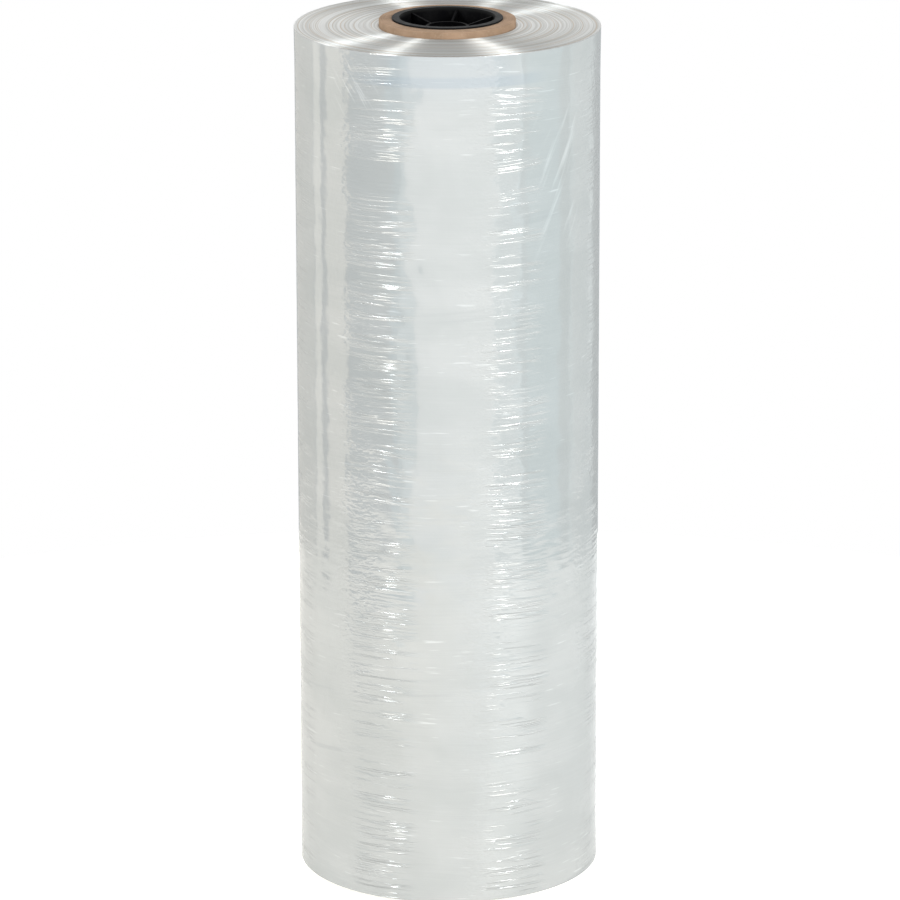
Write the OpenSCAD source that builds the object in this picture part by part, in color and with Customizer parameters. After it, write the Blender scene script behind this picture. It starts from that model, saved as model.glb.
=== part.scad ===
// Roll of clear shrink film on a paperboard core, standing on end, with a
// plug moulded in black plastic pressed into each end of the core.
// Millimetres, +Z up. The origin is the centre of the face that it stands on.

/* [Film] */
// Width of the film, from one end of the winding to the other
film_w = 650; // [300:1:1000]
// Outer diameter of the winding
roll_d = 228; // [150:1:400]
// Radius of the winding's two outer edges
edge_r = 2; // [0.5:0.1:4]
// How far the winding swells out towards each end
flare_h = 0.7; // [0:0.1:1.5]
// Length of each swollen end
flare_len = 36; // [10:1:100]
// Number of tight and slack bands along the winding
band_count = 30; // [6:1:60]
// Depth of the tight bands
band_depth = 0.3; // [0.1:0.05:0.6]
// Number of groups of turns that show on each end face
turn_groups = 20; // [4:1:30]
// How far the groups of turns stand in and out on the end faces
turn_step = 0.8; // [0.2:0.1:1.5]
// Width of the small slope between two groups of turns
turn_slope = 0.5; // [0.2:0.1:1]

/* [Core] */
// Bore of the core
core_id = 76.2; // [50:0.1:110]
// Wall of the core
core_wall = 12.7; // [6:0.1:18]
// How far the core stands out of the winding at each end
core_proud = 4.5; // [2:0.1:12]
// Bevel on the core's cut edges
core_bevel = 0.6; // [0.2:0.1:1.5]

/* [Core plug] */
// How far the flange reaches over the end of the core
flange_lip = 3.2; // [2:0.1:5]
// Thickness of the flange
flange_t = 1.2; // [0.8:0.1:3]
// Bevel inside the mouth of the plug
mouth_bevel = 0.8; // [0.2:0.1:1.5]
// Depth of the plug, from the flange's face
plug_len = 28; // [15:0.5:60]
// Wall of the sleeve
sleeve_wall = 2.6; // [1.5:0.1:4]
// How far the foot of the sleeve tapers in
lead_in = 1.2; // [0.4:0.1:1.4]
// Length of the tapered foot
lead_len = 6; // [2:0.5:10]
// Gap between the plug and the bore, at its grip ribs
plug_clearance = 0.05; // [0.02:0.01:0.3]
// Number of grip ribs round the sleeve
grip_count = 12; // [6:1:24]
// Width of a grip rib
grip_w = 1.4; // [0.8:0.1:3]
// Height of a grip rib
grip_h = 0.4; // [0.2:0.05:1]
// Outer diameter of the hub
hub_d = 32; // [20:0.5:40]
// Wall of the hub
hub_wall = 2; // [1.2:0.1:4]
// How far the hub's mouth lies below the flange's face
hub_drop = 6.7; // [3:0.1:12]
// Number of spokes
spoke_count = 6; // [3:1:10]
// Thickness of a spoke
spoke_t = 1.6; // [1:0.1:3]
// How far a spoke's top lies below the flange's face, at the sleeve
spoke_drop = 1.8; // [0.5:0.1:3]
// How far a spoke's top lies below the hub's mouth, at the hub
spoke_step = 0.4; // [0.2:0.1:1]
// How far the spokes' feet stand above the foot of the sleeve
spoke_lift = 3; // [1:0.5:6]
// Turn of the upper plug's first spoke
spoke_angle = 18.5; // [0:0.5:60]

/* [Hidden] */
$fn = 96;

core_od = core_id + 2 * core_wall;
core_len = film_w + 2 * core_proud;
core_base = flange_t;
film_base = core_base + core_proud;
roll_h = core_len + 2 * flange_t;

film_r = roll_d / 2 - flare_h;
film_bore_r = core_od / 2;
band_len = (film_w - 2 * edge_r) / band_count;
turn_w = (film_r - edge_r - film_bore_r) / turn_groups;
edge_steps = 4;

flange_d = core_id + 2 * flange_lip;
seat_r = core_id / 2 - plug_clearance;
sleeve_r = seat_r - grip_h;
mouth_r = sleeve_r - sleeve_wall;
overrun = 1;

film_colour = [0.87, 0.9, 0.9];
board_colour = [0.75, 0.58, 0.43];
plug_colour = [0.1, 0.1, 0.1];

// An even-looking but never repeating share from 0 to 1, for step number i
function share(i) = 0.5 + 0.5 * sin(i * 137.5 + 40) * cos(i * 61.3);

// Share of the end swelling left at a distance from the nearer end
function flare(from_end) =
    from_end >= flare_len ? 0 : (1 + cos(180 * from_end / flare_len)) / 2;

// Radius of the winding at a height above its lower end
function film_radius(h, i) =
    film_r + flare_h * flare(min(h, film_w - h)) - band_depth * share(i);

// The winding's side, from its lower edge to its upper one
side_points = [
    for (i = [1 : band_count - 1])
        let (h = edge_r + i * band_len)
        [film_radius(h, i), h]
];

// One outer edge as a quarter round, from the end face to the side
function edge_points(face_z, way) = [
    for (s = [0 : edge_steps])
        let (a = 90 * s / edge_steps)
        [roll_d / 2 - edge_r * (1 - sin(a)), face_z + way * edge_r * (1 - cos(a))]
];

// One end face as low terraces, from the core outwards
function face_points(face_z, way, seed) = [
    for (i = [0 : turn_groups - 1])
        let (
            inner = film_bore_r + i * turn_w,
            z = face_z + way * turn_step * share(i + seed)
        )
        for (r = [i == 0 ? inner : inner + turn_slope / 2, inner + turn_w - turn_slope / 2])
            [r, z]
];

function reversed(list) = [for (i = [len(list) - 1 : -1 : 0]) list[i]];

module film_winding() {
    lower_face = face_points(0, 1, 3);
    upper_face = face_points(film_w, -1, 20);
    color(film_colour)
        translate([0, 0, film_base])
            rotate_extrude()
                polygon(concat(
                    lower_face,
                    edge_points(0, 1),
                    side_points,
                    reversed(edge_points(film_w, -1)),
                    reversed(upper_face)
                ));
}

module paperboard_core() {
    inner = core_id / 2;
    outer = core_od / 2;
    color(board_colour)
        translate([0, 0, core_base])
            rotate_extrude()
                polygon([
                    [inner, 0],
                    [outer - core_bevel, 0],
                    [outer, core_bevel],
                    [outer, core_len - core_bevel],
                    [outer - core_bevel, core_len],
                    [inner, core_len]
                ]);
}

// Flange and sleeve as one turned section, with the flange's face at height 0
module plug_shell() {
    flange_r = flange_d / 2;
    rim = flange_t / 3;
    rotate_extrude()
        polygon([
            [mouth_r, -mouth_bevel],
            [mouth_r + mouth_bevel, 0],
            [flange_r - rim, 0],
            [flange_r, -rim],
            [flange_r, -flange_t],
            [sleeve_r, -flange_t],
            [sleeve_r, lead_len - plug_len],
            [sleeve_r - lead_in, -plug_len],
            [mouth_r, -plug_len]
        ]);
}

// Ribs down the sleeve that wedge in the bore
module plug_grips() {
    root = sleeve_r - sleeve_wall / 2;
    grip_len = plug_len - lead_len - flange_t;
    intersection() {
        translate([0, 0, lead_len - plug_len])
            cylinder(r = seat_r, h = grip_len);
        for (i = [0 : grip_count - 1])
            rotate([0, 0, i * 360 / grip_count])
                translate([root, -grip_w / 2, lead_len - plug_len])
                    cube([seat_r + overrun - root, grip_w, grip_len]);
    }
}

// One spoke, rising from just below the hub's mouth to just under the flange's face
module plug_spoke() {
    from_r = (hub_d - hub_wall) / 2;
    to_r = mouth_r + sleeve_wall / 2;
    low_z = -hub_drop - spoke_step;
    rise = (-spoke_drop - low_z) / (mouth_r - hub_d / 2);
    rotate([90, 0, 0])
        translate([0, 0, -spoke_t / 2])
            linear_extrude(height = spoke_t)
                polygon([
                    [from_r, spoke_lift - plug_len],
                    [to_r, spoke_lift - plug_len],
                    [to_r, -spoke_drop + rise * (to_r - mouth_r)],
                    [from_r, low_z - rise * hub_wall / 2]
                ]);
}

module plug_hub() {
    translate([0, 0, -plug_len])
        cylinder(d = hub_d, h = plug_len - hub_drop);
}

module core_plug() {
    color(plug_colour)
        difference() {
            union() {
                plug_shell();
                plug_grips();
                plug_hub();
                for (i = [0 : spoke_count - 1])
                    rotate([0, 0, spoke_angle + i * 360 / spoke_count])
                        plug_spoke();
            }
            translate([0, 0, -plug_len - overrun])
                cylinder(d = hub_d - 2 * hub_wall, h = plug_len + 2 * overrun);
        }
}

module upper_core_plug() {
    translate([0, 0, roll_h])
        core_plug();
}

module lower_core_plug() {
    rotate([180, 0, 0])
        core_plug();
}

film_winding();
paperboard_core();
upper_core_plug();
lower_core_plug();
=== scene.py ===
# A roll of clear shrink film, standing on end: the film's turns, the paperboard
# core and the two plugs in its ends, on a pale floor under soft studio light.
import math

import bmesh
import bpy
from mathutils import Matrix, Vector


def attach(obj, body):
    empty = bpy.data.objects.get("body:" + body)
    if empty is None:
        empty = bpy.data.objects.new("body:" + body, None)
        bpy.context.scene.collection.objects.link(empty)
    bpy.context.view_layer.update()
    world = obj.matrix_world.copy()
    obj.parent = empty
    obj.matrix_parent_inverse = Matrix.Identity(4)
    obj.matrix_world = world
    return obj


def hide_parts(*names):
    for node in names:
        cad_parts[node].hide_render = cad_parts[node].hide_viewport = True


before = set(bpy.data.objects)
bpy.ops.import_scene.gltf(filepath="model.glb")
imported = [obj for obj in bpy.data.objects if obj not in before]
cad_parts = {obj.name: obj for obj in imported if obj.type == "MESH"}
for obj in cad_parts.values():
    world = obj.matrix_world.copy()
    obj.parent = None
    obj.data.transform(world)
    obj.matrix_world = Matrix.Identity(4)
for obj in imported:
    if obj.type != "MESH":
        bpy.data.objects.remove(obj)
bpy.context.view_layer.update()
print("solids loaded:", ", ".join(sorted(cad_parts)))

millimetre = 0.001


class Flow:
    # A socket that takes part in plain arithmetic: each sign adds its own Math node

    def __init__(self, graph, socket):
        self.graph = graph
        self.socket = socket

    def math(self, operation, *values):
        sockets = dict(enumerate(values))
        return self.graph.flow("ShaderNodeMath", {"operation": operation}, sockets)

    def __add__(self, other):
        return self.math("ADD", self, other)

    def __radd__(self, other):
        return self.math("ADD", other, self)

    def __sub__(self, other):
        return self.math("SUBTRACT", self, other)

    def __rsub__(self, other):
        return self.math("SUBTRACT", other, self)

    def __mul__(self, other):
        return self.math("MULTIPLY", self, other)

    def __rmul__(self, other):
        return self.math("MULTIPLY", other, self)

    def __truediv__(self, other):
        return self.math("DIVIDE", self, other)

    def __abs__(self):
        return self.math("ABSOLUTE", self)

    def sine(self):
        return self.math("SINE", self)

    def cosine(self):
        return self.math("COSINE", self)

    def root(self):
        return self.math("SQRT", self)

    def atMost(self, other):
        return self.math("MINIMUM", self, other)

    def atLeast(self, other):
        return self.math("MAXIMUM", self, other)

    def ramp(self, low, high, toLow=0.0, toHigh=1.0):
        # A smooth step from toLow at low to toHigh at high
        sockets = {
            "Value": self, "From Min": low, "From Max": high, "To Min": toLow, "To Max": toHigh,
        }
        settings = {"interpolation_type": "SMOOTHSTEP"}
        return self.graph.flow("ShaderNodeMapRange", settings, sockets)


class Graph:
    # Adds nodes to one tree

    def __init__(self, tree):
        self.tree = tree
        tree.nodes.clear()

    def feed(self, slot, value):
        if isinstance(value, Flow):
            self.tree.links.new(value.socket, slot)
        else:
            slot.default_value = value

    def node(self, kind, settings=None, sockets=None):
        made = self.tree.nodes.new(kind)
        for name, value in (settings or {}).items():
            setattr(made, name, value)
        for name, value in (sockets or {}).items():
            self.feed(made.inputs[name], value)
        return made

    def flow(self, kind, settings=None, sockets=None, output=0):
        return Flow(self, self.node(kind, settings, sockets).outputs[output])

    def vector(self, x, y, z):
        return self.flow("ShaderNodeCombineXYZ", None, {"X": x, "Y": y, "Z": z})

    def axes(self, vector):
        split = self.node("ShaderNodeSeparateXYZ", None, {"Vector": vector})
        return [Flow(self, split.outputs[name]) for name in "XYZ"]

    def objectAxes(self):
        return self.axes(self.flow("ShaderNodeTexCoord", None, None, "Object"))

    def noise(self, vector, detail, roughness=0.5):
        sockets = {"Vector": vector, "Scale": 1.0, "Detail": detail, "Roughness": roughness}
        return self.flow("ShaderNodeTexNoise", {"noise_dimensions": "3D"}, sockets)

    def pattern(self, x, y, along, facts, roughness=0.5):
        # Noise from a scale for x and y, a scale for along, a shift of along and a detail
        wide, fine, shift, detail = facts
        spot = self.vector(x * wide, y * wide, along * fine + shift)
        return self.noise(spot, detail, roughness)

    def blend(self, share, first, second):
        # Mixes two colours
        sockets = {0: share, 6: first, 7: second}
        return self.flow("ShaderNodeMix", {"data_type": "RGBA"}, sockets, 2)


def fromAxis(x, y):
    # Distance from the roll's own axis
    return (x * x + y * y).root()


# Camera and stage

view = {
    "place": (0.0014, -4.104, 1.5143),
    "pitch": 16.127,  # degrees below the horizon
    "roll": -0.1,  # degrees, about the line of sight
    "lens": 225.92,  # mm
    "sensor": 36.0,  # mm
    "reach": 50.0,  # metres
}


def makeCamera():
    data = bpy.data.cameras.new("camera")
    data.lens = view["lens"]
    data.sensor_width = view["sensor"]
    data.clip_end = view["reach"]
    camera = bpy.data.objects.new("camera", data)
    camera.location = view["place"]
    camera.rotation_mode = "ZXY"
    camera.rotation_euler = (math.radians(90 - view["pitch"]), 0, math.radians(view["roll"]))
    bpy.context.collection.objects.link(camera)
    bpy.context.scene.camera = camera


stage = {
    "floorRadius": 0.96,
    "floorCorners": 180,
    "floorCentre": (0.0, -0.09, 0.0),
    "floorColour": (0.8, 0.795, 0.785, 1.0),
    "floorGlow": 0.76,
    "glowLeft": (1.0, 0.95, 0.84, 1.0),
    "glowRight": (0.93, 0.98, 1.0, 1.0),
    "glowSpan": (-0.5, 0.5),  # from all left to all right, in metres
    "sheen": (50, 0.35),  # degrees round, and how much brighter the floor is there
    "sheenSpan": (0.9, 1.0),  # cosine of the angle to it, where it begins and is whole
    "skyLight": 0.53,
    "beyondFloor": (0.57, 0.6, 0.62, 1.0),  # what mirrors see below the horizon
    "walls": (0.86, 0.87, 0.87, 1.0),  # what they see above it
    "ceiling": (0.35, 0.36, 0.37, 1.0),  # and high overhead
    "horizonSpan": (-0.03, 0.0),  # climb of a ray, from below the horizon to above it
    "ceilingSpan": (0.5, 0.85),
}

# Each lamp: degrees round from the camera's side, height of its middle, distance,
# width, height, brightness of its face, and colour
lamps = {
    "frontPanel": (4.5, -0.02, 2.4, 2.84, 1.86, 0.96, (0.97, 0.99, 1.0)),
    "leftSoft": (-30.5, -0.02, 2.4, 0.35, 1.86, 0.62, (0.7, 0.91, 1.0)),
    "leftFade": (-39, -0.02, 2.4, 0.35, 1.86, 0.26, (0.4, 0.82, 1.0)),
    "rightSoft": (45, -0.02, 2.4, 0.9, 1.86, 0.68, (0.8, 0.94, 1.0)),
    "leftStrip": (-46, 1.165, 2.2, 0.56, 0.93, 4.2, (1.0, 0.95, 0.87)),
    "rightStrip": (45, 1.165, 2.2, 0.68, 0.93, 5.0, (1.0, 0.96, 0.9)),
    "leftHaze": (-58, 0.0, 2.4, 1.8, 1.9, 0.07, (0.0, 0.6, 1.0)),
    "rightNear": (73, 0.0, 2.4, 1.7, 1.9, 0.26, (0.45, 0.84, 1.0)),
    "rightFar": (84, 0.0, 2.4, 2.0, 1.9, 0.2, (0.5, 0.9, 1.0)),
    "rightRear": (124, 0.0, 2.4, 1.7, 1.9, 0.4, (0.85, 0.97, 1.0)),
    "rightLine": (136, -0.1, 2.4, 0.12, 0.4, 0.7, (0.97, 1.0, 1.0)),
    "leftPanel": (-92, 0.0, 2.4, 0.94, 1.9, 0.72, (1.0, 0.91, 0.76)),
    "leftLine": (-114, 0.0, 2.4, 0.36, 1.9, 0.85, (1.0, 0.93, 0.8)),
    "leftFar": (-141, 0.0, 2.4, 1.86, 1.9, 0.34, (1.0, 0.88, 0.68)),
    "key": (42, 2.3, 2.6, 1.3, 1.0, 4.8, (1.0, 1.0, 1.0)),
    "behind": (180, 1.7, 2.4, 1.2, 1.2, 0.75, (1.0, 0.99, 0.97)),
    "topLeft": (-49, 2.2, 2.4, 0.42, 1.0, 18.0, (0.9, 0.96, 1.0)),
    "topRight": (53, 2.2, 2.4, 0.4, 1.0, 15.5, (0.9, 0.96, 1.0)),
    "topBack": (-114, 2.2, 2.4, 0.4, 1.0, 15.0, (0.9, 0.96, 1.0)),
}


def seenDirectly(graph):
    # 1 where a camera, mirror or glass ray looks, 0 for plain light
    rays = graph.node("ShaderNodeLightPath")
    looks = [Flow(graph, rays.outputs[name]) for name in
             ("Is Camera Ray", "Is Glossy Ray", "Is Transmission Ray")]
    return (looks[0] + looks[1] + looks[2]).atMost(1.0)


def makeWorld():
    world = bpy.data.worlds.new("studio")
    world.use_nodes = True
    graph = Graph(world.node_tree)
    level = stage["skyLight"]
    white = (1.0, 1.0, 1.0, 1.0)
    direction = graph.flow("ShaderNodeTexCoord", None, None, "Generated")
    climb = graph.axes(direction)[2]
    mirrored = graph.flow("ShaderNodeLightPath", None, None, "Is Glossy Ray")
    around = graph.blend(climb.ramp(*stage["horizonSpan"]), stage["beyondFloor"], stage["walls"])
    around = graph.blend(climb.ramp(*stage["ceilingSpan"]), around, stage["ceiling"])
    shown = graph.blend(mirrored, white, around)
    colour = graph.blend(seenDirectly(graph), (level, level, level, 1.0), shown)
    back = graph.flow("ShaderNodeBackground", None, {"Color": colour, "Strength": 1.0})
    graph.node("ShaderNodeOutputWorld", None, {"Surface": back})
    bpy.context.scene.world = world


def makeFloor():
    mesh = bpy.data.meshes.new("floor")
    shape = bmesh.new()
    bmesh.ops.create_circle(
        shape, cap_ends=True, radius=stage["floorRadius"], segments=stage["floorCorners"])
    shape.to_mesh(mesh)
    shape.free()
    floor = bpy.data.objects.new("floor", mesh)
    floor.location = stage["floorCentre"]
    bpy.context.collection.objects.link(floor)

    material = bpy.data.materials.new("floorPaper")
    material.use_nodes = True
    graph = Graph(material.node_tree)
    paper = graph.flow("ShaderNodeBsdfDiffuse", None, {"Color": stage["floorColour"]})
    x, y, z = graph.objectAxes()
    tint = graph.blend(x.ramp(*stage["glowSpan"]), stage["glowLeft"], stage["glowRight"])
    around, extra = stage["sheen"]
    toward = x * math.sin(math.radians(around)) - y * math.cos(math.radians(around))
    sheen = (toward / fromAxis(x, y)).ramp(*stage["sheenSpan"]) * extra + 1
    glow = seenDirectly(graph) * stage["floorGlow"] * sheen
    light = graph.flow("ShaderNodeEmission", None, {"Color": tint, "Strength": glow})
    both = graph.flow("ShaderNodeAddShader", None, {0: paper, 1: light})
    graph.node("ShaderNodeOutputMaterial", None, {"Surface": both})
    mesh.materials.append(material)


def makeLamp(name, around, middle, distance, width, height, brightness, colour):
    data = bpy.data.lights.new(name, "AREA")
    data.shape = "RECTANGLE"
    data.size = width
    data.size_y = height
    data.energy = brightness * math.pi * width * height
    data.color = colour
    lamp = bpy.data.objects.new(name, data)
    turn = math.radians(around)
    away = Vector((math.sin(turn), -math.cos(turn), 0))
    lamp.location = away * distance + Vector((0, 0, middle))
    lamp.rotation_euler = away.to_track_quat("Z", "Y").to_euler()
    lamp.visible_camera = False
    bpy.context.collection.objects.link(lamp)


makeCamera()
makeWorld()
makeFloor()
for lampName, lampFacts in lamps.items():
    makeLamp(lampName, *lampFacts)
bpy.context.scene.view_settings.view_transform = "Standard"
print("camera, floor and", len(lamps), "lamps made")


# Materials


def newMaterial(name):
    material = bpy.data.materials.new(name)
    material.use_nodes = True
    return material, Graph(material.node_tree)


def finishMaterial(graph, constants, changing, height, relief):
    # Constants sit on the shader's own sockets; height makes bumps as deep as relief, in metres
    shader = graph.node("ShaderNodeBsdfPrincipled", None, {**constants, **changing})
    sockets = {"Height": height, "Distance": relief, "Strength": 1.0}
    graph.feed(shader.inputs["Normal"], graph.flow("ShaderNodeBump", None, sockets))
    graph.node("ShaderNodeOutputMaterial", None, {"Surface": Flow(graph, shader.outputs[0])})


foldColumns = 7  # columns of folds round the roll


def columns(angle):
    # 1 in the middle of each column of folds, 0 between two of them
    return 0.5 - (angle * foldColumns).cosine() * 0.5


filmFinish = {
    "shade": (0.495, 0.505, 0.495, 1.0),
    "pale": (0.54, 0.545, 0.535, 1.0),
    # glintAndScuff: pale colour of the crease dashes, partly real whitish creases and partly
    # painted glints; the scuffs use it too
    "glintAndScuff": (0.8, 0.81, 0.8, 1.0),
    # endBandShade: painted shade, a darker bluish band at the front just below the top edge
    "endBandShade": (0.42, 0.46, 0.49, 1.0),
    # fold: painted shade along the long folds
    "fold": (0.38, 0.40, 0.40, 1.0),
    "scuffs": (
        {"slope": 62, "across": (0.06, 0.12), "height": (0.49, 0.62),
         "long": 14, "fine": 150, "strength": 0.5},
        {"slope": -55, "across": (-0.1, -0.045), "height": (0.6, 0.655),
         "long": 30, "fine": 420, "strength": 0.6},
    ),
    "scuffLines": (0.54, 0.74),
    "scuffFade": (0.02, 0.03, 0.02),  # at the sides, at the foot and at the head
    "metallic": 0.32,
    "metallicPatches": 0.1,
    "roughness": 0.07,
    "roughnessPatches": 0.05,
    "unrolledRadius": 0.1133,  # lengths round the roll are measured at this radius
    "toFront": -8.8,  # times y, 1 at the front of the roll and less round its sides
    "driftReach": 0.015,  # how far bands and streaks wander up and down
    "tuckedPatches": 0.6,  # how far the patches widen the columns of folds
    "ridgeCrest": 0.6,
    "ridgeSharpness": 13,
    "ridgeFoot": 1.85,  # the folds' strength at the foot
    "ridgeThinning": 1.4,  # and what they lose for each metre up
    "crumpleTurn": 0.2,  # radians from the columns of folds to those of crumples
    "foldLean": 0.08,  # the few long folds: how far they lean and wander, and their scale
    "foldWander": 0.01,
    "foldScale": 110,
    "foldSpot": (0.3, 0.7),
    "mottleShares": (0.25, 0.75),  # of the streaks and of the patches
    "relief": 0.0002,
}

# Patterns on the film: scale for x and y, scale along the roll, shift and detail
filmPatterns = {
    "drift": (7, 9, 0, 1.0),
    "streaks": (16, 1300, 0, 2.0),
    "ripples": (30, 480, 0, 1.0),
    "patches": (14, 30, 0, 3.0),
    "dashes": (42, 620, 0, 1.0),
    "folds": (14, 500, 7, 1.0),
    "clusters": (10, 75, 3, 1.0),
    "crumples": (230, 420, 0, 1.0),
    "waist": (36, 26, 5, 1.0),
    "slowSway": (60, 30, 0, 1.0),
    "sway": (90, 75, 0, 0.0),
    "quickSway": (100, 280, 0, 0.0),
    "foldReach": (9, 22, 0, 0.0),
}

# Smooth steps: where each begins and is whole, and for some the shares at both
filmSteps = {
    "tight": (0.38, 0.54),
    "dashes": (0.68, 0.78),
    "clusters": (0.36, 0.5),
    "tucked": (0.3, 0.8, 0.05, 1.0),
    "crumpled": (0.5, 0.95, 0.06, 1.0),
    "crumpledPatches": (0.38, 0.6, 0.15, 1.0),
    "ridgeHead": (0.64, 0.652),
    "waistFront": (0.86, 0.95),
    "foldReach": (0.5, 0.6),
    "longFold": (0.63, 0.72),
    "base": (0.35, 0.65),
    "endBandFoot": (0.631, 0.633),
    "endBandHead": (0.638, 0.642),
    "endBandFront": (0.72, 0.95),
    "neckHeight": (0.61, 0.65),
    "neckFront": (0.87, 0.96),
}

# How high each pattern stands in the bumps, and how strongly the painted crease glints, the long
# folds' painted shade and the painted shade bands near the top tint the film
filmBumps = {
    "streaks": 0.05,
    "ripples": (0.04, 0.08),  # everywhere, and more in the patches
    "ridge": (0.06, 0.7),  # everywhere, and more in the clusters
    "crumple": 2.4,
    "waist": 11.0,
    "sway": 1.4,
    "quickSway": 0.5,
    "longFold": 0.15,
}
filmTints = {"glintAndScuff": 0.5, "fold": 0.3, "endBandShade": 0.6, "neckShade": 0.35}


def makeFilmMaterial():
    material, graph = newMaterial("clearFilm")
    x, y, z = graph.objectAxes()
    around = graph.flow("ShaderNodeMath", {"operation": "ARCTAN2"}, {0: x, 1: y * -1})
    across = around * filmFinish["unrolledRadius"]
    front = y * filmFinish["toFront"]

    def pattern(name, along):
        return graph.pattern(x, y, along, filmPatterns[name])

    def step(value, name):
        return value.ramp(*filmSteps[name])

    drift = pattern("drift", z)
    level = z + drift * filmFinish["driftReach"]
    streaks = pattern("streaks", level)
    ripples = pattern("ripples", level)
    patches = pattern("patches", z)
    # Crease dashes in the tight patches: partly real whitish creases, partly painted glints
    creaseGlints = step(pattern("dashes", level), "dashes") * step(patches, "tight")

    # Thin folds in columns, fewer towards the top and none at the rounded edge
    clusters = step(pattern("clusters", z), "clusters")
    widened = (patches - 0.5) * filmFinish["tuckedPatches"]
    tucked = step(columns(around) + widened, "tucked")
    offCrest = abs(pattern("folds", level) - filmFinish["ridgeCrest"])
    ridge = (1 - offCrest * filmFinish["ridgeSharpness"]).atLeast(0.0)
    ridge = ridge * (filmFinish["ridgeFoot"] - z * filmFinish["ridgeThinning"])
    ridge = ridge * (1 - step(z, "ridgeHead"))

    # Crumples in columns of their own, a little to one side of those
    crumpled = step(columns(around + filmFinish["crumpleTurn"]), "crumpled")
    crumpled = crumpled * step(patches, "crumpledPatches")
    crumple = pattern("crumples", z) * crumpled

    # Slow waves, strongest at the front
    waist = (pattern("waist", z) - 0.5) * step(front, "waistFront")
    sway = (pattern("slowSway", z) + waist * filmBumps["waist"]
            + pattern("sway", level) * filmBumps["sway"]
            + pattern("quickSway", level) * filmBumps["quickSway"])

    # A few long folds that lean: each is raised in the bumps and darkened in colour with painted
    # shade
    lean = z - across * filmFinish["foldLean"] + drift * filmFinish["foldWander"]
    spot = graph.vector(*filmFinish["foldSpot"], lean * filmFinish["foldScale"])
    longFold = graph.noise(spot, 1.0)
    longFold = step(longFold, "longFold") * step(pattern("foldReach", z), "foldReach")

    ofStreaks, ofPatches = filmFinish["mottleShares"]
    mottle = step(streaks * ofStreaks + patches * ofPatches, "base")
    base = graph.blend(mottle, filmFinish["shade"], filmFinish["pale"])
    # Painted glints on the crease dashes
    base = graph.blend(creaseGlints * filmTints["glintAndScuff"], base, filmFinish["glintAndScuff"])
    # Painted shade along the long folds
    base = graph.blend(longFold * filmTints["fold"], base, filmFinish["fold"])
    sideFade, footFade, headFade = filmFinish["scuffFade"]
    # Scuffs: scratch lines in two patches, drawn in the same pale colour as the painted crease
    # glints
    for scuff in filmFinish["scuffs"]:
        turn = math.radians(scuff["slope"])
        along = across * math.cos(turn) + z * math.sin(turn)
        aside = z * math.cos(turn) - across * math.sin(turn)
        spot = graph.vector(along * scuff["long"], aside * scuff["fine"], 0.0)
        lines = graph.noise(spot, 2.0).ramp(*filmFinish["scuffLines"])
        (left, right), (foot, head) = scuff["across"], scuff["height"]
        patch = across.ramp(left, left + sideFade) * (1 - across.ramp(right - sideFade, right))
        patch = patch * z.ramp(foot, foot + footFade) * (1 - z.ramp(head - headFade, head))
        base = graph.blend(lines * patch * scuff["strength"], base, filmFinish["glintAndScuff"])
    # Painted shade at the front near the top: a thin darker bluish band, and a fainter painted
    # shade over the front's top few centimetres
    endBandShade = step(z, "endBandFoot") * (1 - step(z, "endBandHead")) * step(front, "endBandFront")
    base = graph.blend(endBandShade * filmTints["endBandShade"], base, filmFinish["endBandShade"])
    neckShade = step(z, "neckHeight") * step(front, "neckFront")
    base = graph.blend(neckShade * filmTints["neckShade"], base, filmFinish["endBandShade"])

    ripple, patchRipple = filmBumps["ripples"]
    fold, clusterFold = filmBumps["ridge"]
    height = (streaks * filmBumps["streaks"] + ripples * (ripple + patches * patchRipple)
              + ridge * tucked * (fold + clusters * clusterFold)
              + crumple * filmBumps["crumple"] + sway + longFold * filmBumps["longFold"])
    metallic = filmFinish["metallic"] + (patches - 0.5) * filmFinish["metallicPatches"]
    roughness = filmFinish["roughness"] + patches * filmFinish["roughnessPatches"]
    finishMaterial(
        graph,
        {"IOR": 1.45, "Specular IOR Level": 0.2, "Specular Tint": (0.6, 0.6, 0.6, 1.0),
         "Coat Weight": 0.25, "Coat Roughness": 0.42},
        {"Base Color": base, "Metallic": metallic, "Roughness": roughness},
        height, filmFinish["relief"],
    )
    return material


# The other patterns: scale for x and y, scale along height or radius, shift and detail

faceFinish = {
    "shade": (0.47, 0.465, 0.44, 1.0),
    "pale": (0.77, 0.775, 0.765, 1.0),
    "brown": (0.44, 0.35, 0.255, 1.0),
    "metallic": 0.8,
    "metallicGroups": 0.3,
    "roughness": 0.5,
    "roughnessFine": 0.1,
    "anisotropy": 1.0,
    "finePattern": (3, 2200, 0, 1.0),
    "groupPattern": (2, 420, 3, 2.0),
    "brownPattern": (1.5, 700, 11, 0.0),
    "paleSpan": (0.36, 0.64),
    "brownSpan": (0.57, 0.66),
    "brownShare": 0.7,
    "relief": 0.0001,
}


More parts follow.
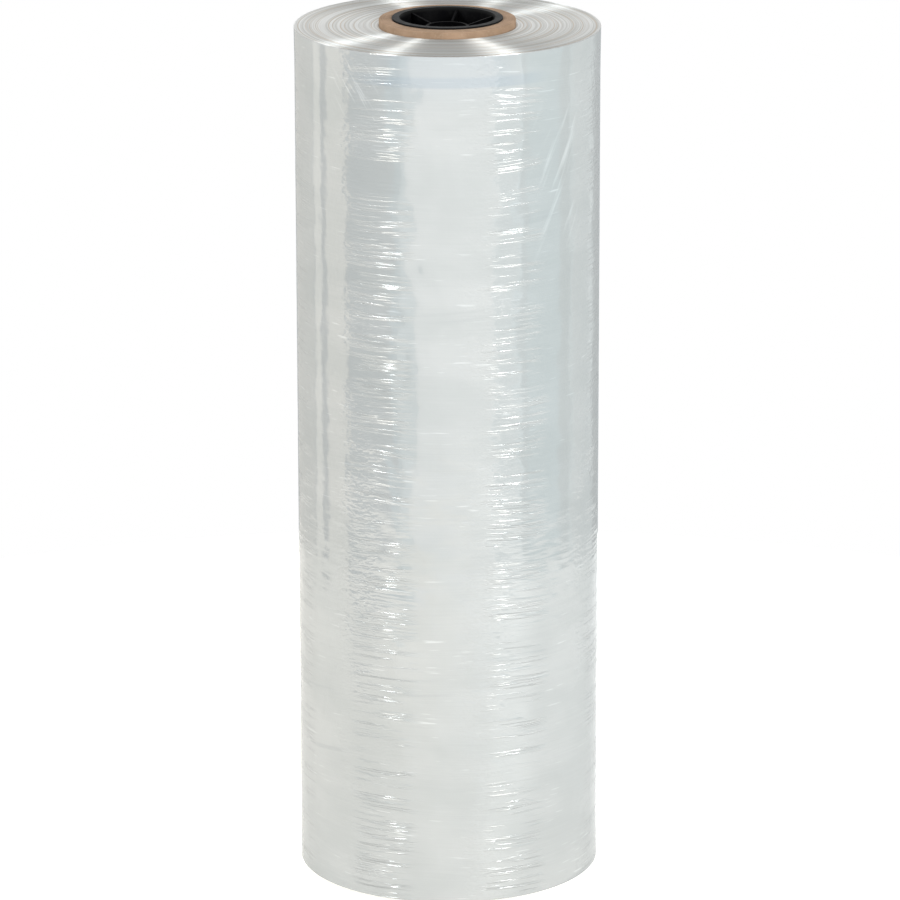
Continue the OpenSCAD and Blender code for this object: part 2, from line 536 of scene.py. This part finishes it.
def makeFaceMaterial():
    material, graph = newMaterial("filmEdges")
    x, y, z = graph.objectAxes()
    radius = fromAxis(x, y)
    fine = graph.pattern(x, y, radius, faceFinish["finePattern"])
    groups = graph.pattern(x, y, radius, faceFinish["groupPattern"])
    brown = graph.pattern(x, y, radius, faceFinish["brownPattern"]).ramp(*faceFinish["brownSpan"])
    rings = (fine * 0.5 + groups * 0.5).ramp(*faceFinish["paleSpan"])
    base = graph.blend(rings, faceFinish["shade"], faceFinish["pale"])
    base = graph.blend(brown * faceFinish["brownShare"], base, faceFinish["brown"])
    finishMaterial(
        graph,
        {"Anisotropic": faceFinish["anisotropy"], "Anisotropic Rotation": 0.25, "IOR": 1.5},
        {
            "Base Color": base,
            "Metallic": faceFinish["metallic"] + (groups - 0.5) * faceFinish["metallicGroups"],
            "Roughness": faceFinish["roughness"] + (fine - 0.5) * faceFinish["roughnessFine"],
        },
        fine + groups, faceFinish["relief"],
    )
    return material


boardFinish = {
    "light": (0.45, 0.30, 0.2, 1.0),
    "dark": (0.31, 0.205, 0.13, 1.0),
    "fibre": (0.48, 0.36, 0.265, 1.0),
    "roughness": 0.85,
    "roughnessFibres": 0.2,
    "fibrePattern": (500, 500, 0, 4.0),
    "fibreRoughness": 0.7,
    "plyPattern": (20, 1900, 0, 1.0),
    "blotchPattern": (60, 60, 0, 2.0),
    "lightSpan": (0.35, 0.65),
    "fibreSpan": (0.5, 0.7),
    "fibreShare": 0.5,
    "relief": 0.0002,
}


def makeBoardMaterial():
    material, graph = newMaterial("kraftBoard")
    x, y, z = graph.objectAxes()
    fibres = graph.pattern(x, y, z, boardFinish["fibrePattern"], boardFinish["fibreRoughness"])
    plies = graph.pattern(x, y, fromAxis(x, y), boardFinish["plyPattern"])
    blotches = graph.pattern(x, y, z, boardFinish["blotchPattern"])
    mottle = (plies * 0.5 + blotches * 0.5).ramp(*boardFinish["lightSpan"])
    base = graph.blend(mottle, boardFinish["dark"], boardFinish["light"])
    threads = fibres.ramp(*boardFinish["fibreSpan"]) * boardFinish["fibreShare"]
    base = graph.blend(threads, base, boardFinish["fibre"])
    roughness = boardFinish["roughness"] + (fibres - 0.5) * boardFinish["roughnessFibres"]
    changing = {"Base Color": base, "Roughness": roughness}
    finishMaterial(graph, {"IOR": 1.4}, changing, fibres + plies, boardFinish["relief"])
    return material


plugFinish = {
    "black": (0.003, 0.003, 0.0035, 1.0),
    "worn": (0.01, 0.01, 0.01, 1.0),
    # rim: painted sheen, a lighter grey for the flange than the black deeper in
    "rim": (0.012, 0.012, 0.012, 1.0),
    "roughness": 0.36,
    "roughnessScuffs": 0.3,
    "grainPattern": (1800, 1800, 0, 2.0),
    "scuffPattern": (90, 90, 0, 4.0),
    "scuffRoughness": 0.7,
    "wornSpan": (0.5, 0.75),
    "wornShare": 0.6,
    "middle": 0.3307,  # height of the roll's middle, between the two plugs
    "rimSpan": (0.3275, 0.3302),  # distances from it where the rim's painted sheen begins and is whole
    "relief": 0.00004,
}


def makePlugMaterial():
    material, graph = newMaterial("mouldedBlack")
    x, y, z = graph.objectAxes()
    grain = graph.pattern(x, y, z, plugFinish["grainPattern"])
    scuffs = graph.pattern(x, y, z, plugFinish["scuffPattern"], plugFinish["scuffRoughness"])
    worn = scuffs.ramp(*plugFinish["wornSpan"]) * plugFinish["wornShare"]
    base = graph.blend(worn, plugFinish["black"], plugFinish["worn"])
    # Painted sheen and shade: the flange and top of the sleeve are drawn lighter grey, the deeper
    # inside stays blacker
    rim = abs(z - plugFinish["middle"]).ramp(*plugFinish["rimSpan"])
    base = graph.blend(rim, base, plugFinish["rim"])
    roughness = plugFinish["roughness"] + (scuffs - 0.5) * plugFinish["roughnessScuffs"]
    constants = {"IOR": 1.2, "Specular IOR Level": 0.05}
    changing = {"Base Color": base, "Roughness": roughness}
    finishMaterial(graph, constants, changing, grain, plugFinish["relief"])
    return material


filmMaterial = makeFilmMaterial()
faceMaterial = makeFaceMaterial()
boardMaterial = makeBoardMaterial()
plugMaterial = makePlugMaterial()
print("materials made")


# Film: one closed body of turns, made by a Geometry Nodes tree, in metres

film = {
    "Radius": 0.1136,
    "Largest Radius": 0.1139,
    "Bore Radius": 0.0508,
    "Base Height": 0.0057,
    "Width": 0.65,
    "Edge Radius": 0.0008,
    "Flare Length": 0.036,
    "Band Depth": 0.00016,
    "Wrinkle Depth": 0.00024,
    "Foot Folds": 0.4,
    "Turn Step": 0.0008,
    "Lip": 0.0012,
    "Merge Distance": 0.00002,
    "Segments": 96,
    "Side Rings": 840,
    "Face Rings": 64,
    "Edge Rings": 3,
    "Bore Rings": 12,
    "Seed": 4.0,
}

# Waves in the side's mesh: scale across the roll, scale along it and detail
sideWaves = {
    "drift": (6, 9, 1.0),
    "bands": (2, 60, 1.0),
    "ripples": (14, 170, 0.0),
    "crimps": (26, 430, 0.0),
    "tucks": (20, 190, 0.0),
    "patches": (9, 24, 1.0),
}

sideFolds = {
    "wander": 0.02,  # how far the waves drift up and down
    "endFade": 0.012,  # the waves are whole this far from an end
    "bandShift": 0.3,
    "patchSpan": (0.45, 0.62),
    "columnSpan": (0.3, 0.8, 0.25, 1.0),
    "footSpan": (0.1, 0.3),  # heights between which the foot's deeper folds end
    "ripples": (0.12, 0.6),  # everywhere, and more in the patches
    "crimps": 0.35,
    "tucks": 0.7,
    "tuckSharpness": 8,
}

endFace = {
    "groups": (0.12, 160, 1.0),  # as the waves, but along the radius
    "turns": (0.3, 520, 1.0),
    "groupSpan": (0.3, 0.7, 1.0, 0.0),
    "turnShare": 0.35,
    "offCentre": 0.0009,  # how far the rings run off the middle
    "topTurn": 1.3,  # and which way, in radians, at either end
    "bottomTurn": 4.0,
    "bottomSeed": 20,
    "innerSpan": (0.0, 0.03),  # shares of the face's width where the rings begin and end
    "outerSpan": (0.97, 1.0),
    "lipSpan": (0.0, 0.02),
    "slope": 0.6,  # a face belongs to an end where its normal leans up or down by more
    "boreMargin": 0.001,
}


def filmTree():
    tree = bpy.data.node_groups.new("filmTurns", "GeometryNodeTree")
    counts = {"Segments", "Side Rings", "Face Rings", "Edge Rings", "Bore Rings"}
    for name in film:
        kind = "NodeSocketInt" if name in counts else "NodeSocketFloat"
        tree.interface.new_socket(name, in_out="INPUT", socket_type=kind)
    materialInputs = ("Side Material", "Face Material")
    for name in materialInputs:
        tree.interface.new_socket(name, in_out="INPUT", socket_type="NodeSocketMaterial")
    tree.interface.new_socket("Geometry", in_out="OUTPUT", socket_type="NodeSocketGeometry")
    graph = Graph(tree)
    given = graph.node("NodeGroupInput")
    size = {name: Flow(graph, given.outputs[name]) for name in film}
    bottom = size["Base Height"]
    top = bottom + size["Width"]
    edge = size["Edge Radius"]

    def waves(x, y, along, facts, shift):
        wide, fine, detail = facts
        return graph.pattern(x, y, along, (wide, fine, shift, detail))

    def sheet(rings, place, flip):
        # A grid whose X runs once round the roll, bent to the radius and height that place gives
        grid = graph.node("GeometryNodeMeshGrid", None, {
            "Size X": 1.0, "Size Y": 1.0,
            "Vertices X": size["Segments"] + 1, "Vertices Y": rings + 1,
        })
        x, y, z = graph.axes(graph.flow("GeometryNodeInputPosition"))
        turn = (x + 0.5) * (2 * math.pi)
        radius, height = place(turn, y + 0.5)
        spot = graph.vector(radius * turn.cosine(), radius * turn.sine(), height)
        bent = graph.flow("GeometryNodeSetPosition", None,
                          {"Geometry": Flow(graph, grid.outputs[0]), "Position": spot})
        return graph.flow("GeometryNodeFlipFaces", None, {"Mesh": bent}) if flip else bent

    def sideRadius(turn, height):
        fromEnd = (height - bottom).atMost(top - height)
        flare = size["Largest Radius"] - size["Radius"]
        flare = flare * (1 - fromEnd.ramp(edge, size["Flare Length"]))
        fade = fromEnd.ramp(edge, sideFolds["endFade"])
        east, north = turn.cosine() * size["Radius"], turn.sine() * size["Radius"]
        seed = size["Seed"]
        otherSeed = seed * -1

        def wave(name, along, shift):
            return waves(east, north, along, sideWaves[name], shift)

        level = height + (wave("drift", height, seed) - 0.5) * sideFolds["wander"]
        bands = wave("bands", level, seed) - 0.5
        ripples = wave("ripples", level, seed) - 0.5
        crimps = wave("crimps", level, seed) - 0.5
        offTuck = abs(wave("tucks", level, otherSeed) - 0.5)
        tuck = (1 - offTuck * sideFolds["tuckSharpness"]).atLeast(0.0)
        patches = wave("patches", height, otherSeed).ramp(*sideFolds["patchSpan"])
        low = 1 + size["Foot Folds"] * (1 - height.ramp(*sideFolds["footSpan"]))
        ripple, patchRipple = sideFolds["ripples"]
        folds = ripples * (ripple + patches * patchRipple)
        sharp = crimps * sideFolds["crimps"] - tuck * tuck * sideFolds["tucks"]
        folds = folds + sharp * patches * low
        inColumns = columns(turn + math.pi / 2).ramp(*sideFolds["columnSpan"])
        depth = size["Band Depth"] * bands + size["Wrinkle Depth"] * folds * inColumns
        depth = depth - size["Band Depth"] * sideFolds["bandShift"]
        radius = size["Radius"] + flare + depth * fade
        return radius.atMost(size["Largest Radius"])

    def side(turn, along):
        height = bottom + edge + along * (size["Width"] - 2 * edge)
        return sideRadius(turn, height), height

    def roundEdge(isTop):
        def place(turn, along):
            angle = along * (math.pi / 2)
            inward = edge * (1 - angle.sine())
            down = edge * (1 - angle.cosine())
            height = top - down if isTop else bottom + down
            return size["Largest Radius"] - inward, height
        return place

    def face(isTop):
        def place(turn, along):
            inner, outer = size["Bore Radius"], size["Largest Radius"] - edge
            radius = inner + along * (outer - inner)
            offTurn = endFace["topTurn"] if isTop else endFace["bottomTurn"]
            sample = radius + (turn + offTurn).cosine() * endFace["offCentre"]
            seed = size["Seed"] + (0 if isTop else endFace["bottomSeed"])
            east, north = turn.cosine(), turn.sine()
            groups = waves(east, north, sample, endFace["groups"], seed)
            turns = waves(east, north, sample, endFace["turns"], seed)
            rise = along.ramp(*endFace["innerSpan"]) * (1 - along.ramp(*endFace["outerSpan"]))
            rings = groups.ramp(*endFace["groupSpan"]) + turns * endFace["turnShare"]
            sunk = size["Turn Step"] * rings * rise
            lip = (1 - along.ramp(*endFace["lipSpan"])) * size["Lip"]
            return radius, (top - sunk - lip) if isTop else (bottom + sunk + lip)
        return place

    def bore(turn, along):
        lip = size["Lip"]
        return size["Bore Radius"] + 0 * turn, bottom + lip + along * (size["Width"] - 2 * lip)

    parts = [
        sheet(size["Side Rings"], side, False),
        sheet(size["Edge Rings"], roundEdge(True), True),
        sheet(size["Edge Rings"], roundEdge(False), False),
        sheet(size["Face Rings"], face(True), True),
        sheet(size["Face Rings"], face(False), False),
        sheet(size["Bore Rings"], bore, True),
    ]
    join = graph.node("GeometryNodeJoinGeometry")
    for part in reversed(parts):
        tree.links.new(part.socket, join.inputs[0])
    joined = Flow(graph, join.outputs[0])
    closed = graph.flow("GeometryNodeMergeByDistance", None,
                        {"Geometry": joined, "Distance": size["Merge Distance"]})
    smooth = graph.flow("GeometryNodeSetShadeSmooth", None,
                        {"Geometry": closed, "Shade Smooth": True})
    real = graph.flow("GeometryNodeRealizeInstances", None, {"Geometry": smooth})
    slope = abs(graph.axes(graph.flow("GeometryNodeInputNormal"))[2])
    x, y, z = graph.axes(graph.flow("GeometryNodeInputPosition"))
    inBore = graph.flow("ShaderNodeMath", {"operation": "LESS_THAN"},
                        {0: fromAxis(x, y), 1: size["Bore Radius"] + endFace["boreMargin"]})
    onFace = graph.flow("ShaderNodeMath", {"operation": "GREATER_THAN"},
                        {0: slope + inBore, 1: endFace["slope"]})
    onSides, onEnds = (Flow(graph, given.outputs[name]) for name in materialInputs)
    dressed = graph.flow("GeometryNodeSetMaterial", None,
                         {"Geometry": real, "Material": onSides})
    dressed = graph.flow("GeometryNodeSetMaterial", None,
                         {"Geometry": dressed, "Selection": onFace, "Material": onEnds})
    graph.node("NodeGroupOutput", None, {"Geometry": dressed})
    return tree


def plainCopy(source, name):
    # The evaluated shape of an object as a plain mesh in a new object
    bpy.context.view_layer.update()
    depsgraph = bpy.context.evaluated_depsgraph_get()
    evaluated = source.evaluated_get(depsgraph)
    mesh = bpy.data.meshes.new_from_object(evaluated, depsgraph=depsgraph)
    mesh.name = name
    copy = bpy.data.objects.new(name, mesh)
    bpy.context.collection.objects.link(copy)
    bpy.data.objects.remove(source, do_unlink=True)
    return copy


def makeFilm():
    seedObject = bpy.data.objects.new("filmSeed", bpy.data.meshes.new("filmSeed"))
    bpy.context.collection.objects.link(seedObject)
    modifier = seedObject.modifiers.new("turns", "NODES")
    tree = filmTree()
    modifier.node_group = tree
    given = {**film, "Side Material": filmMaterial, "Face Material": faceMaterial}
    for item in tree.interface.items_tree:
        if item.in_out == "INPUT":
            modifier[item.identifier] = given[item.name]
    piece = plainCopy(seedObject, "film_turns")
    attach(piece, "root")
    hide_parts("film_winding")
    return piece


filmPiece = makeFilm()
print("film:", len(filmPiece.data.polygons), "faces")


# Core: board with its plies open at both cut ends

core = {
    "bore": 38.1,
    "radius": 50.8,
    "base": 1.2,
    "length": 659.0,
    "plies": 13,
    "plyGroove": 0.18,
    "halfGroove": 0.14,
    "bevel": 0.6,
    "bevelCorner": (0.15, 0.2),  # in from the outside, and down from the cut end
    "segments": 128,
}


def turnedMesh(name, profile, segments):
    # Turns a closed profile of (radius, height) in mm round the Z axis
    verts, faces = [], []
    count = len(profile)
    for step in range(segments):
        angle = 2 * math.pi * step / segments
        for radius, height in profile:
            spot = (radius * math.cos(angle), radius * math.sin(angle), height)
            verts.append([value * millimetre for value in spot])
    for step in range(segments):
        here, there = step * count, (step + 1) % segments * count
        for i in range(count):
            j = (i + 1) % count
            faces.append((here + i, there + i, there + j, here + j))
    mesh = bpy.data.meshes.new(name)
    mesh.from_pydata(verts, [], faces)
    mesh.update()
    return mesh


def makeCore():
    wall = (core["radius"] - core["bore"]) / core["plies"]
    top = core["base"] + core["length"]
    cornerIn, cornerDown = core["bevelCorner"]

    def cutEnd(height, way):
        points = [(core["bore"], height)]
        for ply in range(1, core["plies"]):
            edge = core["bore"] + ply * wall
            points += [
                (edge - core["halfGroove"], height),
                (edge, height - way * core["plyGroove"]),
                (edge + core["halfGroove"], height),
            ]
        points += [
            (core["radius"] - core["bevel"], height),
            (core["radius"] - cornerIn, height - way * cornerDown),
            (core["radius"], height - way * core["bevel"]),
        ]
        return points

    upper = cutEnd(top, 1)
    lower = cutEnd(core["base"], -1)
    mesh = turnedMesh("board_core", lower + upper[::-1], core["segments"])
    piece = bpy.data.objects.new("board_core", mesh)
    bpy.context.collection.objects.link(piece)
    mesh.materials.append(boardMaterial)
    for polygon in mesh.polygons:
        polygon.use_smooth = False
    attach(piece, "root")
    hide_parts("paperboard_core")
    return piece


corePiece = makeCore()
print("core:", len(corePiece.data.polygons), "faces")


# Plugs: each moulding's sharp edges are eased

plug = {
    "edge": 0.35,  # mm, as are the two distances below
    "steps": 2,
    "merge": 0.01,
    "sliver": 0.005,
    "flatAngle": 1,  # degrees between faces that become one
    "sharpAngle": 40,  # degrees from which an edge is eased
}


def editMesh(mesh, *edits):
    shape = bmesh.new()
    shape.from_mesh(mesh)
    for edit in edits:
        edit(shape)
    shape.to_mesh(mesh)
    shape.free()


def mergeDoubles(shape):
    bmesh.ops.remove_doubles(shape, verts=shape.verts, dist=plug["merge"] * millimetre)


def joinFlatFaces(shape):
    angle = math.radians(plug["flatAngle"])
    bmesh.ops.dissolve_limit(shape, angle_limit=angle, verts=shape.verts, edges=shape.edges)


def dropSlivers(shape):
    bmesh.ops.dissolve_degenerate(shape, dist=plug["sliver"] * millimetre, edges=shape.edges)


def makePlug(node, name):
    source = bpy.data.objects[node]
    mesh = source.data.copy()
    mesh.name = name
    editMesh(mesh, mergeDoubles, joinFlatFaces)
    raw = bpy.data.objects.new(name + "_raw", mesh)
    bpy.context.collection.objects.link(raw)
    bevel = raw.modifiers.new("easedEdges", "BEVEL")
    bevel.width = plug["edge"] * millimetre
    bevel.segments = plug["steps"]
    bevel.limit_method = "ANGLE"
    bevel.angle_limit = math.radians(plug["sharpAngle"])
    bevel.harden_normals = True
    piece = plainCopy(raw, name)
    editMesh(piece.data, dropSlivers)
    piece.data.materials.clear()
    piece.data.materials.append(plugMaterial)
    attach(piece, "root")
    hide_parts(node)
    return piece


for node, name in (("upper_core_plug", "plug_upper"), ("lower_core_plug", "plug_lower")):
    piece = makePlug(node, name)
    print(name + ":", len(piece.data.polygons), "faces")
